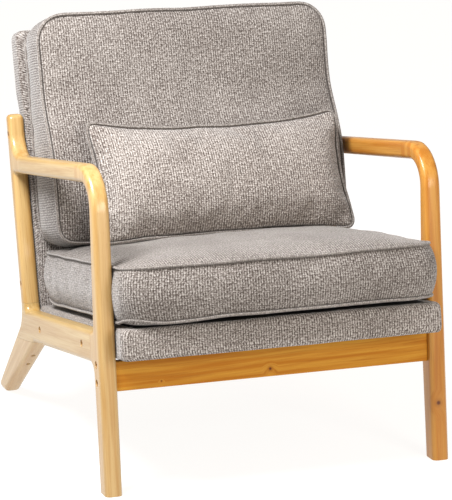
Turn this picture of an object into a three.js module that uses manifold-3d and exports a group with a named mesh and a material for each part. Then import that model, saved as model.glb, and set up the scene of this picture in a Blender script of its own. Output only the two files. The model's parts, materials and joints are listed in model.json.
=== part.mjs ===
// A wooden lounge armchair: two sawn side frames, a front apron and a rear stretcher, an upholstered
// seat deck and back panel on their own softwood frames, and three loose cushions.
// Millimetres, +Z up. The sitter faces -Y, and left and right are -X and +X.
// The origin is on the floor, under the middle of the chair's bounding box.
import * as THREE from "three";
import { mergeVertices } from "three/addons/utils/BufferGeometryUtils.js";
import Module from "manifold-3d";

const wasm = await Module();
wasm.setup();

const degrees = THREE.MathUtils.degToRad;

// ---- Driving dimensions ----

const OVERALL_WIDTH = 660;
const FRAME_THICKNESS = 32; // of every leg, arm, rail and post, across the chair
const EDGE_RADIUS = 9; // rounding along the edges of the side frames
const FOOT_ALLOWANCE = 14; // extra length of the front legs, trimmed off flat at the floor
const GAP = 0.3; // left wherever two pieces touch
const BEYOND = 500; // further than any part reaches, for blocks that only cut
const WOOD_TOLERANCE = 0.25; // how far an arc may stray from the true curve
const SOFT_TOLERANCE = 2;

// Side frames, as lines in the YZ plane.
const SEAT_TILT = degrees(9.5); // rails, deck and seat cushion, down towards the back
const ARM_TILT = degrees(9);
const BACK_RAKE = degrees(14.5);
const ARM_TOP = 537; // height of the arm's top line at y = 0
const ARM_DEPTH = 32.5;
const SEAT_HEIGHT = 245.7; // height of the seat deck's top line at y = 0
const RAIL_DROP = 8.5; // from the top of the deck down to the top of the rail
const RAIL_DEPTH = 57.5;
const FRONT_LEG = { footFront: -357, footBack: -317, frontSlope: 0.125, backSlope: 0.146 };
const FRONT_LEG_UPPER = { y: -287, z: 205, slope: 0.07 }; // rear edge above the rail
const POST_BACK = { y: 207, z: 222 }; // a point on the rear edge of the post
const POST_TOP = 573;
const POST_DEPTH = 30; // at the rail
const POST_TOP_DEPTH = 25;
const REAR_LEG_BACK = { y: 259.5, z: 128.5, slope: -1.05 };
const REAR_LEG_FRONT = { y: 148.3, z: 136.1, slope: -1.414 };

// Fillets and rounded corners in the outline of a side frame.
const BEND_OUTER_RADIUS = 82;
const BEND_INNER_RADIUS = 44;
const POST_FILLET = 48;
const KNEE_FILLET = 52;
const RAIL_FRONT_FILLET = 22;
const SMALL_FILLET = 12;
const END_RADIUS = 9.5;

// Cross members.
const APRON = { y: -307, z: 206.8, thickness: 22, height: 54, edge: 3 };
const STRETCHER = { y: 193, z: -41, thickness: 22, height: 46, edge: 3 }; // in the seat's own frame

// Upholstered seat deck, in the seat's own frame: z = 0 is the top line of the rails.
const DECK = { width: 594, front: -375, back: 177, top: -1, height: 56.6, corner: 30, edge: 9 };
const COVER_WALL = 1.8;
const DUST_COVER = 1.3; // thickness
const TRIM = 30; // extra depth of a cover before its open side is cut flat
const DECK_FOAM = 17;
const WEBBING = 1.8;
const WEBBING_WIDTH = 50;
const FRAME_STOCK = 26; // width of the softwood battens inside the deck and the back

// Upholstered back panel, in the back's own frame: y = 0 is the rear edge of the posts.
const PANEL = { width: 593, bottom: -18, top: 519, front: -28.7, thickness: 46, corner: 16, edge: 9 };
const PANEL_FOAM = 6;
const REAR_CLOTH = { recess: 3, thickness: 1.5 };

// Loose cushions.
const SEAT_CUSHION = { width: 588, front: -387.6, back: 152, bottom: 0, height: 104, corner: 38, edge: 12 };
const BACK_CUSHION = { width: 578, bottom: 96, top: 535, back: -29.7, corner: 52 };
const BACK_CUSHION_FRONT = { bottom: -184, belly: -190, bellyZ: 200, top: -146 };
const PILLOW = { width: 498, height: 230, thickness: 84, corner: 44, edge: 38, rake: degrees(29) };
const PILLOW_PLACE = { x: 18, y: 17, z: 470.5 };
const CUSHION_WALL = 2;
const ZIP = { length: 380, width: 6, reach: 20 }; // the opening, which reaches through the cover's wall

// Bolts and screws.
const BOLT = { headRadius: 6.2, headHeight: 4.6, shankRadius: 3, chamfer: 0.8, length: 52, sunk: 1.1 };
const APRON_BOLT_LENGTH = 70;
const HEX_SOCKET = { radius: 2.9, depth: 2.6 };
const SCREW = { headRadius: 4, headHeight: 3, headEdge: 0.6, shankRadius: 2, length: 52, sunk: 12 };
const CROSS_RECESS = { length: 4.8, width: 1, depth: 1.4 };
const FIT = 0.35; // radial clearance round a bolt or screw
const RAIL_BOLTS = { front: -211, rear: 75, z: -36 }; // in the seat's own frame
const APRON_BOLTS = { upper: 229, lower: 197 }; // heights
const POST_BOLTS = { y: -13, lower: 30, upper: 320 }; // in the back's own frame
const LEG_SCREWS = { upper: 176, lower: 214 }; // y of each upright screw

const FRAME_CENTRE = (OVERALL_WIDTH - FRAME_THICKNESS) / 2;
const INNER_FACE = OVERALL_WIDTH / 2 - FRAME_THICKNESS;

// ---- Materials ----

const finish = (color, roughness, metalness = 0) => () =>
  new THREE.MeshStandardMaterial({ color, roughness, metalness });
const paleWood = finish(0xe3c59a, 0.42);
const amberWood = finish(0xd29c57, 0.42);
const softwood = finish(0xd9bf94, 0.8);
const upholstery = finish(0xa59a92, 0.95);
const elastic = finish(0x4b4a48, 0.9);
const foam = finish(0xe8e0c8, 0.95);
const blackCloth = finish(0x2c2b2a, 0.95);
const bronzedSteel = finish(0x8a6136, 0.4, 0.8);

// ---- Solids ----

function toSolid(geometry) {
  const bare = geometry.clone();
  bare.deleteAttribute("normal");
  bare.deleteAttribute("uv");
  const merged = mergeVertices(bare, 1e-4);
  return new wasm.Manifold(
    new wasm.Mesh({
      numProp: 3,
      vertProperties: merged.attributes.position.array,
      triVerts: new Uint32Array(merged.index.array),
    }),
  );
}

function toGeometry(solid) {
  const mesh = solid.getMesh();
  const geometry = new THREE.BufferGeometry();
  geometry.setAttribute("position", new THREE.BufferAttribute(mesh.vertProperties, 3));
  geometry.setIndex(new THREE.BufferAttribute(mesh.triVerts, 1));
  geometry.computeVertexNormals();
  return geometry;
}

// Corners [u, v, radius] as a closed ring of points, with each corner turned through an arc.
function roundedRing(corners, tolerance = WOOD_TOLERANCE) {
  const ring = [];
  corners.forEach(([u, v, radius], i) => {
    const corner = new THREE.Vector2(u, v);
    const [beforeU, beforeV] = corners.at(i - 1);
    const [afterU, afterV] = corners[(i + 1) % corners.length];
    const toBefore = new THREE.Vector2(beforeU, beforeV).sub(corner).normalize();
    const toAfter = new THREE.Vector2(afterU, afterV).sub(corner).normalize();
    if (!radius) {
      ring.push(corner);
      return;
    }
    const halfAngle = Math.acos(toBefore.dot(toAfter)) / 2;
    const inward = toBefore.clone().add(toAfter).normalize();
    const centre = corner.clone().addScaledVector(inward, radius / Math.sin(halfAngle));
    const start = corner.clone().addScaledVector(toBefore, radius / Math.tan(halfAngle)).sub(centre);
    const sweep = (Math.PI - 2 * halfAngle) * Math.sign(toAfter.cross(toBefore));
    const largestStep = 2 * Math.acos(1 - tolerance / radius);
    const steps = Math.max(2, Math.ceil(Math.abs(sweep) / largestStep));
    for (let step = 0; step <= steps; step++) {
      const turned = start.clone().rotateAround(new THREE.Vector2(), (sweep * step) / steps);
      ring.push(turned.add(centre));
    }
  });
  return ring;
}

function rectangle(left, right, bottom, top, radius) {
  const corners = [
    [left, bottom, radius],
    [right, bottom, radius],
    [right, top, radius],
    [left, top, radius],
  ];
  return roundedRing(corners, SOFT_TOLERANCE);
}

// A ring extruded by `depth` along its own z, from z = 0, with its edges rounded by `edge`.
function extrude(ring, depth, edge = 0, holes = [], edgeSegments = 2) {
  const shape = new THREE.Shape(ring);
  shape.holes = holes.map((hole) => new THREE.Path(hole));
  const geometry = new THREE.ExtrudeGeometry(shape, {
    depth: depth - 2 * edge,
    bevelEnabled: edge > 0,
    bevelThickness: edge,
    bevelSize: edge,
    bevelOffset: -edge,
    bevelSegments: edgeSegments,
    steps: 1,
  });
  return geometry.translate(0, 0, edge);
}

// Turns a ring drawn as (y, z) and extruded along z into one that is extruded along x.
const ALONG_X = new THREE.Matrix4().set(0, 0, 1, 0, 1, 0, 0, 0, 0, 1, 0, 0, 0, 0, 0, 1);
// Turns a ring drawn as (x, z) and extruded along z into one that is extruded along -y.
const ALONG_Y = new THREE.Matrix4().makeRotationX(Math.PI / 2);

function acrossChair(ring, width, centre = 0, edge = 0, holes = []) {
  return extrude(ring, width, edge, holes, 3).applyMatrix4(ALONG_X).translate(centre - width / 2, 0, 0);
}

function block(x0, x1, y0, y1, z0, z1) {
  const box = new THREE.BoxGeometry(x1 - x0, y1 - y0, z1 - z0);
  return box.translate((x0 + x1) / 2, (y0 + y1) / 2, (z0 + z1) / 2);
}

// A round bar from `start` along x, y or z.
function bar(axis, radius, length, start, sides = 12) {
  const cylinder = new THREE.CylinderGeometry(radius, radius, length, sides).translate(0, length / 2, 0);
  if (axis === "x") cylinder.rotateZ(-Math.PI / 2);
  if (axis === "z") cylinder.rotateX(Math.PI / 2);
  return toSolid(cylinder.translate(...start));
}

function mesh(name, shape, makeMaterial) {
  const geometry = shape.isBufferGeometry ? shape : toGeometry(shape);
  const made = new THREE.Mesh(geometry, makeMaterial());
  made.name = name;
  return made;
}

// ---- Frames of reference ----

const chair = new THREE.Group();
const seat = new THREE.Group();
seat.position.set(0, 0, SEAT_HEIGHT);
seat.rotation.x = -SEAT_TILT;
const back = new THREE.Group();
back.position.set(0, POST_BACK.y, POST_BACK.z);
back.rotation.x = -BACK_RAKE;
chair.add(seat, back);
chair.updateMatrixWorld(true);

const fromSeat = (x, y, z) => new THREE.Vector3(x, y, z).applyMatrix4(seat.matrixWorld);
const fromBack = (x, y, z) => new THREE.Vector3(x, y, z).applyMatrix4(back.matrixWorld);

// ---- Side frames ----

// Each line is { y, z, slope }, with slope = dy/dz.
const verticalish = (y, z, slope) => ({ y, z, slope });
const yOn = (line, z) => line.y + line.slope * (z - line.z);
const zOn = (line, y) => line.z + (y - line.y) / line.slope;

function meet(first, second) {
  const z =
    (second.y - first.y + first.slope * first.z - second.slope * second.z) / (first.slope - second.slope);
  return [yOn(first, z), z];
}

const shifted = (line, dy) => verticalish(line.y + dy, line.z, line.slope);

// A line through height z0 at y = 0 that drops towards the back by `tilt`, as dy/dz.
const dropping = (z0, tilt) => verticalish(0, z0, -1 / Math.tan(tilt));

const frameLines = {
  armTop: dropping(ARM_TOP, ARM_TILT),
  armBottom: dropping(ARM_TOP - ARM_DEPTH / Math.cos(ARM_TILT), ARM_TILT),
  railTop: dropping(SEAT_HEIGHT - RAIL_DROP / Math.cos(SEAT_TILT), SEAT_TILT),
  railBottom: dropping(SEAT_HEIGHT - (RAIL_DROP + RAIL_DEPTH) / Math.cos(SEAT_TILT), SEAT_TILT),
  legFront: verticalish(FRONT_LEG.footFront, 0, FRONT_LEG.frontSlope),
  legBack: verticalish(FRONT_LEG.footBack, 0, FRONT_LEG.backSlope),
  legUpperBack: verticalish(FRONT_LEG_UPPER.y, FRONT_LEG_UPPER.z, FRONT_LEG_UPPER.slope),
  postBack: verticalish(POST_BACK.y, POST_BACK.z, Math.tan(BACK_RAKE)),
  postFront: postFrontLine(),
  rearLegBack: verticalish(REAR_LEG_BACK.y, REAR_LEG_BACK.z, REAR_LEG_BACK.slope),
  rearLegFront: verticalish(REAR_LEG_FRONT.y, REAR_LEG_FRONT.z, REAR_LEG_FRONT.slope),
};

// The post tapers from POST_DEPTH at the rail to POST_TOP_DEPTH at its top.
function postFrontLine() {
  const foot = fromBack(0, -POST_DEPTH, 0);
  const length = (POST_TOP - POST_BACK.z) / Math.cos(BACK_RAKE);
  const top = fromBack(0, -POST_TOP_DEPTH, length);
  return verticalish(foot.y, foot.z, (top.y - foot.y) / (top.z - foot.z));
}

function sideFrameBlank() {
  const line = frameLines;
  const outline = roundedRing([
    [yOn(line.legFront, -FOOT_ALLOWANCE), -FOOT_ALLOWANCE, END_RADIUS],
    [...meet(line.legFront, line.armTop), BEND_OUTER_RADIUS],
    [...meet(line.armTop, line.postFront), POST_FILLET],
    [yOn(line.postFront, POST_TOP), POST_TOP, END_RADIUS],
    [yOn(line.postBack, POST_TOP), POST_TOP, END_RADIUS],
    [...meet(line.postBack, line.rearLegBack), KNEE_FILLET],
    [yOn(line.rearLegBack, 0), 0, END_RADIUS],
    [yOn(line.rearLegFront, 0), 0, END_RADIUS],
    [...meet(line.rearLegFront, line.railBottom), SMALL_FILLET],
    [...meet(line.railBottom, line.legBack), RAIL_FRONT_FILLET],
    [yOn(line.legBack, -FOOT_ALLOWANCE), -FOOT_ALLOWANCE, END_RADIUS],
  ]);
  const underArm = roundedRing([
    [...meet(line.legUpperBack, line.railTop), END_RADIUS / 2],
    [...meet(line.railTop, line.postFront), SMALL_FILLET],
    [...meet(line.postFront, line.armBottom), END_RADIUS / 2],
    [...meet(line.armBottom, line.legUpperBack), BEND_INNER_RADIUS],
  ]);
  const rough = toSolid(acrossChair(outline, FRAME_THICKNESS, 0, EDGE_RADIUS, [underArm]));
  const offcut = block(-FRAME_THICKNESS, FRAME_THICKNESS, -BEYOND, BEYOND, -2 * FOOT_ALLOWANCE, 0);
  return rough.subtract(toSolid(offcut));
}

// The glued joints of a side frame, each a line that the saw follows.
const ARM_JOINT = -185; // y of the joint between the armrest and the front leg's bend
const POST_SHOULDER = 52; // length of armrest left on the post
const RAIL_JOINT = { y: -268, z: 250 };
const POST_FOOT = 6; // height of the post's foot above the top line of the deck
const joints = {
  armToLeg: verticalish(ARM_JOINT, ARM_TOP, Math.tan(ARM_TILT)),
  armToPost: shifted(frameLines.postFront, -POST_SHOULDER),
  railToLeg: verticalish(RAIL_JOINT.y, RAIL_JOINT.z, FRONT_LEG_UPPER.slope),
  postToRail: dropping(SEAT_HEIGHT + POST_FOOT, SEAT_TILT),
  railToRearLeg: frameLines.railBottom,
};

const SAW_MARGIN = 150; // how far past the frame the sawn regions reach
const MID_WINDOW = 400; // a height inside the opening under the arm
const UNDER_RAIL = 100; // a height below the front half of the rail
const REAR_SPLIT = 105; // a y between the rail's rear bolt and the rear leg
const BEHIND = 400; // a y behind the whole frame

function sawnRegions() {
  const low = -SAW_MARGIN;
  const high = POST_TOP + SAW_MARGIN;
  const front = FRONT_LEG.footFront - SAW_MARGIN;
  const rear = yOn(frameLines.rearLegBack, 0) + SAW_MARGIN;
  const { armToLeg, armToPost, railToLeg, postToRail, railToRearLeg } = joints;
  return {
    front_leg: [
      [front, low],
      [yOn(railToLeg, low), low],
      [yOn(railToLeg, MID_WINDOW), MID_WINDOW],
      [yOn(armToLeg, MID_WINDOW), MID_WINDOW],
      [yOn(armToLeg, high), high],
      [front, high],
    ],
    armrest: [
      [yOn(armToLeg, MID_WINDOW), MID_WINDOW],
      [yOn(armToPost, MID_WINDOW), MID_WINDOW],
      [yOn(armToPost, high), high],
      [yOn(armToLeg, high), high],
    ],
    rear_post: [
      [REAR_SPLIT, zOn(postToRail, REAR_SPLIT)],
      [rear, zOn(postToRail, rear)],
      [rear, high],
      [yOn(armToPost, high), high],
      [yOn(armToPost, MID_WINDOW), MID_WINDOW],
      [REAR_SPLIT, MID_WINDOW],
    ],
    side_rail: [
      [yOn(railToLeg, UNDER_RAIL), UNDER_RAIL],
      [REAR_SPLIT, UNDER_RAIL],
      [REAR_SPLIT, zOn(railToRearLeg, REAR_SPLIT)],
      [rear, zOn(railToRearLeg, rear)],
      [rear, zOn(postToRail, rear)],
      meet(railToLeg, postToRail),
    ],
    rear_leg: [
      [REAR_SPLIT, low],
      [rear, low],
      [rear, zOn(railToRearLeg, rear)],
      [REAR_SPLIT, zOn(railToRearLeg, REAR_SPLIT)],
    ],
  };
}

// A slot one GAP wide along a joint line, through the full thickness, between two heights.
function kerf(line, z0, z1) {
  const direction = new THREE.Vector2(line.slope, 1).normalize();
  const across = new THREE.Vector2(direction.y, -direction.x).multiplyScalar(GAP / 2);
  const ends = [z0, z1].map((z) => new THREE.Vector2(yOn(line, z), z));
  const ring = [
    ends[0].clone().sub(across),
    ends[0].clone().add(across),
    ends[1].clone().add(across),
    ends[1].clone().sub(across),
  ];
  return toSolid(acrossChair(ring, 2 * FRAME_THICKNESS));
}

function sawnSideFrame() {
  const { armToLeg, armToPost, railToLeg, postToRail, railToRearLeg } = joints;
  const blank = sideFrameBlank()
    .subtract(kerf(armToLeg, MID_WINDOW, POST_TOP + SAW_MARGIN))
    .subtract(kerf(armToPost, MID_WINDOW, POST_TOP + SAW_MARGIN))
    .subtract(kerf(railToLeg, UNDER_RAIL, MID_WINDOW))
    .subtract(kerf(postToRail, zOn(postToRail, BEHIND), zOn(postToRail, REAR_SPLIT)))
    .subtract(kerf(railToRearLeg, zOn(railToRearLeg, BEHIND), zOn(railToRearLeg, REAR_SPLIT)));
  const pieces = {};
  for (const [name, region] of Object.entries(sawnRegions())) {
    const ring = region.map(([y, z]) => new THREE.Vector2(y, z));
    pieces[name] = blank.intersect(toSolid(acrossChair(ring, 2 * FRAME_THICKNESS)));
  }
  return pieces;
}

// ---- Fasteners ----

// A socket-head joint bolt along x, its head's top at x = 0 and its shank towards +x.
function boltSolid(length) {
  const { headRadius, headHeight, shankRadius, chamfer } = BOLT;
  const profile = [
    [0, 0],
    [headRadius - chamfer, 0],
    [headRadius, chamfer],
    [headRadius, headHeight],
    [shankRadius, headHeight],
    [shankRadius, length],
    [0, length],
  ].map(([radius, along]) => new THREE.Vector2(radius, along));
  const turned = toSolid(new THREE.LatheGeometry(profile, 12).rotateZ(-Math.PI / 2));
  const socket = bar("x", HEX_SOCKET.radius, HEX_SOCKET.depth + 1, [-1, 0, 0], 6);
  return turned.subtract(socket);
}

// What a bolt needs cut away: the counterbore for its head and the clearance round its shank.
function boltHole(length) {
  const outside = BOLT.sunk + 1;
  const head = bar("x", BOLT.headRadius + FIT, BOLT.headHeight + GAP + outside, [-outside, 0, 0]);
  return head.add(bar("x", BOLT.shankRadius + FIT, length + GAP, [0, 0, 0]));
}

// An upright wood screw with its head's underside at z = 0 and its point up.
function screwSolid() {
  const { headRadius, headHeight, headEdge, shankRadius, length } = SCREW;
  const profile = [
    [0, 0],
    [headRadius, 0],
    [headRadius, headEdge],
    [shankRadius, headHeight],
    [shankRadius, length - 2 * headHeight],
    [0, length],
  ].map(([radius, along]) => new THREE.Vector2(radius, along));
  const { length: arm, width, depth } = CROSS_RECESS;
  const cross = block(-arm / 2, arm / 2, -width / 2, width / 2, -1, depth);
  const turned = toSolid(new THREE.LatheGeometry(profile, 12).rotateX(Math.PI / 2));
  const slots = toSolid(cross).add(toSolid(cross.clone().rotateZ(Math.PI / 2)));
  return turned.subtract(slots);
}

function screwHole() {
  const headDepth = SCREW.headHeight + FIT;
  const below = SCREW.sunk + SCREW.length;
  const counterbore = bar("z", SCREW.headRadius + FIT, below + headDepth, [0, 0, -below]);
  return counterbore.add(bar("z", SCREW.shankRadius + FIT, SCREW.length + FIT, [0, 0, 0], 12));
}

// Where each bolt of the left side enters: the name of the part it clamps and the centre of its head.
const railBolt = (y) => fromSeat(0, y, RAIL_BOLTS.z);
const postBolt = (z) => fromBack(0, POST_BOLTS.y, z);
const apronBoltY = (z) => APRON.y + FRONT_LEG.frontSlope * (z - APRON.z);
const BOLTS = [
  { name: "rail_bolt_front", through: "side_rail", at: railBolt(RAIL_BOLTS.front), length: BOLT.length },
  { name: "rail_bolt_rear", through: "side_rail", at: railBolt(RAIL_BOLTS.rear), length: BOLT.length },
  { name: "post_bolt_lower", through: "rear_post", at: postBolt(POST_BOLTS.lower), length: BOLT.length },
  { name: "post_bolt_upper", through: "rear_post", at: postBolt(POST_BOLTS.upper), length: BOLT.length },
  ...Object.entries(APRON_BOLTS).map(([place, z]) => ({
    name: "apron_bolt_" + place,
    through: "front_leg",
    at: new THREE.Vector3(0, apronBoltY(z), z),
    length: APRON_BOLT_LENGTH,
  })),
];

const screwHead = (y) => new THREE.Vector3(0, y, zOn(frameLines.rearLegFront, y) + SCREW.sunk);

// Every bolt hole of both sides in one solid, to be cut from the cross members and the upholstery.
function allBoltHoles() {
  const left = BOLTS.map(({ at, length }) =>
    boltHole(length).translate([-OVERALL_WIDTH / 2 + BOLT.sunk, at.y, at.z]),
  );
  const leftHoles = left.reduce((all, hole) => all.add(hole));
  return leftHoles.add(leftHoles.mirror([1, 0, 0]));
}

const boltHoles = allBoltHoles();
const leftPieces = sawnSideFrame();
const screws = Object.entries(LEG_SCREWS).map(([place, y]) => ({
  name: "leg_screw_" + place,
  at: screwHead(y),
}));

function addSide(side, sign) {
  const x = sign * FRAME_CENTRE;
  const screwHoles = screws
    .map(({ at }) => screwHole().translate([x, at.y, at.z]))
    .reduce((all, hole) => all.add(hole));
  for (const [name, piece] of Object.entries(leftPieces)) {
    const placed = piece.translate([x, 0, 0]).subtract(boltHoles).subtract(screwHoles);
    const shade = name === "front_leg" || name === "rear_leg" ? amberWood : paleWood;
    chair.add(mesh(side + "_" + name, placed, shade));
  }
  for (const { name, at, length } of BOLTS) {
    const made = boltSolid(length).translate([-OVERALL_WIDTH / 2 + BOLT.sunk, at.y, at.z]);
    chair.add(mesh(side + "_" + name, sign < 0 ? made : made.mirror([1, 0, 0]), bronzedSteel));
  }
  for (const { name, at } of screws) {
    chair.add(mesh(side + "_" + name, screwSolid().translate([x, at.y, at.z]), bronzedSteel));
  }
}

// ---- Cross members ----

function addFrontApron() {
  const { y, z, thickness, height, edge } = APRON;
  const board = rectangle(-thickness / 2, thickness / 2, -height / 2, height / 2, edge);
  const geometry = acrossChair(board, 2 * (INNER_FACE - GAP));
  geometry.rotateX(-Math.atan(FRONT_LEG.frontSlope)).translate(0, y, z);
  chair.add(mesh("front_apron", toSolid(geometry).subtract(boltHoles), amberWood));
}

function addRearStretcher() {
  const { y, z, thickness, height, edge } = STRETCHER;
  const board = rectangle(y - thickness / 2, y + thickness / 2, z - height / 2, z + height / 2, edge);
  seat.add(mesh("rear_stretcher", acrossChair(board, 2 * (INNER_FACE - GAP)), amberWood));
}

// ---- Seat deck ----

// A flat pad with rounded corners in plan and rounded edges, standing on z = bottom.
function pad({ width, front, back: rear, corner, edge }, bottom, top, inset = 0) {
  const half = width / 2 - inset;
  const outline = rectangle(-half, half, front + inset, rear - inset, corner - inset);
  return toSolid(extrude(outline, top - bottom, edge).translate(0, 0, bottom));
}

function addSeatDeck() {
  const bottom = DECK.top - DECK.height;
  const holes = boltHoles.transform(seat.matrixWorld.clone().invert().elements);
  const insetBy = (inset, from, to) => pad({ ...DECK, edge: 0 }, from, to, inset);
  const innerPlan = { ...DECK, edge: DECK.edge - COVER_WALL };
  const cavity = pad(innerPlan, bottom - 2 * TRIM, DECK.top - COVER_WALL, COVER_WALL);
  const cover = pad(DECK, bottom - TRIM, DECK.top).subtract(cavity);
  const cutBelow = toSolid(block(-BEYOND, BEYOND, -BEYOND, BEYOND, bottom - BEYOND, bottom));
  seat.add(mesh("seat_deck_cover", cover.subtract(cutBelow).subtract(holes), upholstery));

  const foamTop = DECK.top - COVER_WALL - GAP;
  const foamPad = pad(innerPlan, foamTop - DECK_FOAM, foamTop, COVER_WALL + GAP);
  seat.add(mesh("seat_deck_foam", foamPad, foam));

  const webbingTop = foamTop - DECK_FOAM - GAP;
  const frameTop = webbingTop - WEBBING - GAP;
  const frameBottom = bottom + DUST_COVER + GAP;
  const clear = COVER_WALL + GAP;
  const inside = insetBy(clear, frameBottom, frameTop);
  const outerX = DECK.width / 2 - clear;
  const innerX = outerX - FRAME_STOCK;
  const battens = {
    seat_frame_left: [-outerX, -innerX, DECK.front, DECK.back],
    seat_frame_right: [innerX, outerX, DECK.front, DECK.back],
    seat_frame_front: [-innerX + GAP, innerX - GAP, DECK.front, DECK.front + clear + FRAME_STOCK],
    seat_frame_rear: [-innerX + GAP, innerX - GAP, DECK.back - clear - FRAME_STOCK, DECK.back],
  };
  for (const [name, [x0, x1, y0, y1]] of Object.entries(battens)) {
    const batten = toSolid(block(x0, x1, y0, y1, frameBottom, frameTop)).intersect(inside);
    seat.add(mesh(name, batten.subtract(holes), softwood));
  }

  const strapCount = 4;
  const pitch = (2 * innerX) / strapCount;
  for (let i = 0; i < strapCount; i++) {
    const x = (i - (strapCount - 1) / 2) * pitch;
    const half = WEBBING_WIDTH / 2;
    const strap = block(
      x - half,
      x + half,
      DECK.front + FRAME_STOCK / 2,
      DECK.back - FRAME_STOCK / 2,
      webbingTop - WEBBING,
      webbingTop,
    );
    seat.add(mesh("seat_webbing_" + (i + 1), strap, elastic));
  }

  const dustCover = insetBy(clear, bottom, frameBottom - GAP);
  seat.add(mesh("seat_dust_cover", dustCover, blackCloth));
}

// ---- Back panel ----

// The panel's outline in its own XZ plane, extruded from y = front to y = rear.
function slab({ width, bottom, top, corner }, front, rear, edge, inset = 0) {
  const half = width / 2 - inset;
  const outline = rectangle(-half, half, bottom + inset, top - inset, corner - inset);
  return toSolid(extrude(outline, rear - front, edge).applyMatrix4(ALONG_Y).translate(0, rear, 0));
}

function addBackPanel() {
  const rear = PANEL.front + PANEL.thickness;
  const holes = boltHoles.transform(back.matrixWorld.clone().invert().elements);
  const innerEdge = PANEL.edge - COVER_WALL;
  const cavity = slab(PANEL, PANEL.front + COVER_WALL, rear + 2 * TRIM, innerEdge, COVER_WALL);
  const cutBehind = toSolid(block(-BEYOND, BEYOND, rear, rear + BEYOND, -BEYOND, 2 * BEYOND));
  const cover = slab(PANEL, PANEL.front, rear + TRIM, PANEL.edge).subtract(cavity).subtract(cutBehind);
  back.add(mesh("back_panel_cover", cover.subtract(holes), upholstery));

  const clear = COVER_WALL + GAP;
  const foamFront = PANEL.front + clear;
  const panelFoam = slab(PANEL, foamFront, foamFront + PANEL_FOAM, 0, clear + innerEdge);
  back.add(mesh("back_panel_foam", panelFoam, foam));

  const strapFront = foamFront + PANEL_FOAM + GAP;
  const frameFront = strapFront + WEBBING + GAP;
  const clothFront = rear - REAR_CLOTH.recess;
  const frameRear = clothFront - GAP;
  const inside = slab(PANEL, frameFront, frameRear, 0, clear);
  const outerX = PANEL.width / 2 - clear;
  const innerX = outerX - FRAME_STOCK;
  const battens = {
    back_frame_left: [-outerX, -innerX, PANEL.bottom, PANEL.top],
    back_frame_right: [innerX, outerX, PANEL.bottom, PANEL.top],
    back_frame_bottom: [-innerX + GAP, innerX - GAP, PANEL.bottom, PANEL.bottom + clear + FRAME_STOCK],
    back_frame_top: [-innerX + GAP, innerX - GAP, PANEL.top - clear - FRAME_STOCK, PANEL.top],
  };
  for (const [name, [x0, x1, z0, z1]] of Object.entries(battens)) {
    const batten = toSolid(block(x0, x1, frameFront, frameRear, z0, z1)).intersect(inside);
    back.add(mesh(name, batten.subtract(holes), softwood));
  }

  const strapCount = 3;
  const pitch = (PANEL.top - PANEL.bottom) / (strapCount + 1);
  for (let i = 0; i < strapCount; i++) {
    const z = PANEL.bottom + (i + 1) * pitch;
    const half = WEBBING_WIDTH / 2;
    const reach = innerX + FRAME_STOCK / 2;
    const strap = block(-reach, reach, strapFront, strapFront + WEBBING, z - half, z + half);
    back.add(mesh("back_webbing_" + (i + 1), strap, elastic));
  }

  const rearCloth = slab(PANEL, clothFront, clothFront + REAR_CLOTH.thickness, 0, clear);
  back.add(mesh("back_rear_cloth", rearCloth, upholstery));
}

// ---- Loose cushions ----

function addSeatCushion() {
  const { bottom, height, edge, back: rear } = SEAT_CUSHION;
  const shrunk = (inset) =>
    pad({ ...SEAT_CUSHION, edge: edge - inset }, bottom + inset, bottom + height - inset, inset);
  const middle = bottom + height / 2;
  const half = ZIP.length / 2;
  const zip = block(
    -half,
    half,
    rear - ZIP.reach,
    rear + ZIP.reach,
    middle - ZIP.width / 2,
    middle + ZIP.width / 2,
  );
  const cover = shrunk(0).subtract(shrunk(CUSHION_WALL)).subtract(toSolid(zip));
  seat.add(mesh("seat_cushion_cover", cover, upholstery));
  seat.add(mesh("seat_cushion_foam", shrunk(CUSHION_WALL + GAP), foam));
}

const SIDE_CORNER = 18; // of the back cushion's outline seen from the side
const BELLY_RADIUS = 200;
const BACK_CUSHION_EDGE = 16;

// The back cushion seen from the side, thickest at its belly.
function backCushionSide(inset) {
  const { bottom, top, back: rear } = BACK_CUSHION;
  const front = BACK_CUSHION_FRONT;
  const outline = [
    [rear - inset, bottom + inset, SIDE_CORNER],
    [rear - inset, top - inset, SIDE_CORNER],
    [front.top + inset, top - inset, SIDE_CORNER],
    [front.belly + inset, front.bellyZ, BELLY_RADIUS],
    [front.bottom + inset, bottom + inset, SIDE_CORNER],
  ];
  return roundedRing(outline, SOFT_TOLERANCE);
}

function addBackCushion() {
  const { width, bottom, corner } = BACK_CUSHION;
  const shrunk = (inset) =>
    slab(BACK_CUSHION, -BEYOND, 0, 0, inset).intersect(
      toSolid(acrossChair(backCushionSide(inset), width - 2 * inset, 0, BACK_CUSHION_EDGE - inset)),
    );
  const half = ZIP.length / 2;
  const middle = (BACK_CUSHION.back + BACK_CUSHION_FRONT.bottom) / 2;
  const zip = block(
    -half,
    half,
    middle - ZIP.width / 2,
    middle + ZIP.width / 2,
    bottom - ZIP.reach,
    bottom + corner / 2,
  );
  const cover = shrunk(0).subtract(shrunk(CUSHION_WALL)).subtract(toSolid(zip));
  back.add(mesh("back_cushion_cover", cover, upholstery));
  back.add(mesh("back_cushion_foam", shrunk(CUSHION_WALL + GAP), foam));
}

function pillowSolid(inset) {
  const { width, height, thickness, corner, edge } = PILLOW;
  const u = width / 2 - inset;
  const v = height / 2 - inset;
  const outline = rectangle(-u, u, -v, v, corner - inset);
  const geometry = extrude(outline, thickness - 2 * inset, edge - inset, [], 3);
  return geometry.applyMatrix4(ALONG_Y).translate(0, thickness / 2 - inset, 0);
}

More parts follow.
